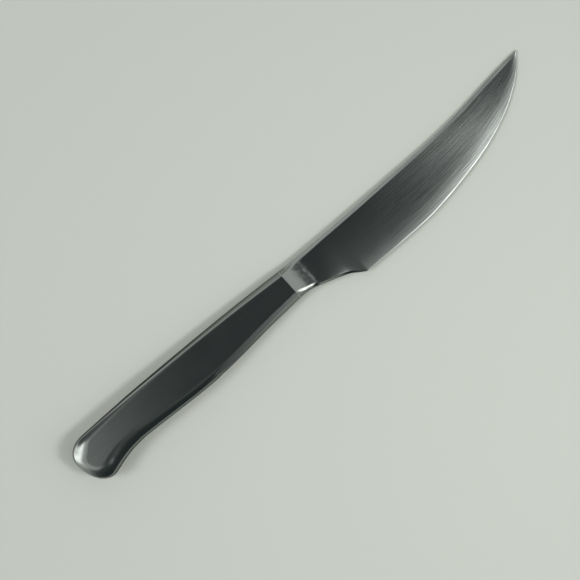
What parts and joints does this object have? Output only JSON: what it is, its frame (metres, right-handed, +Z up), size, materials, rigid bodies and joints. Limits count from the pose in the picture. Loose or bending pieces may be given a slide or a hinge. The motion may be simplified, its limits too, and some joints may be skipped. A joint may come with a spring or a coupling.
{
  "type": "steak knife",
  "caption": "Steak knife lying on its side: hollow metal handle with a flared butt, scooped neck, broad blade with an upswept point.",
  "frame": {"origin": "on the flat that the knife lies on, under the middle of the handle's length and of its width there", "axes": "+X along the knife towards the point, +Y towards the back of the blade, +Z up, away from the surface that the knife lies on"},
  "size_m": [0.2105, 0.0243, 0.0109],
  "materials": {
    "blade_steel": "fine lengthwise brushed, bright sharpened bevel",
    "handle_steel": "polished to a soft satin",
    "solder": "polished flush with the steel",
    "cement": "matt, out of sight"
  },
  "bodies": {
    "root": {"blade": "blade_steel", "upper_handle_shell": "handle_steel", "lower_handle_shell": "handle_steel", "seam_solder": "solder", "neck_solder": "solder", "cement_core": "cement"}
  },
  "joints": []
}
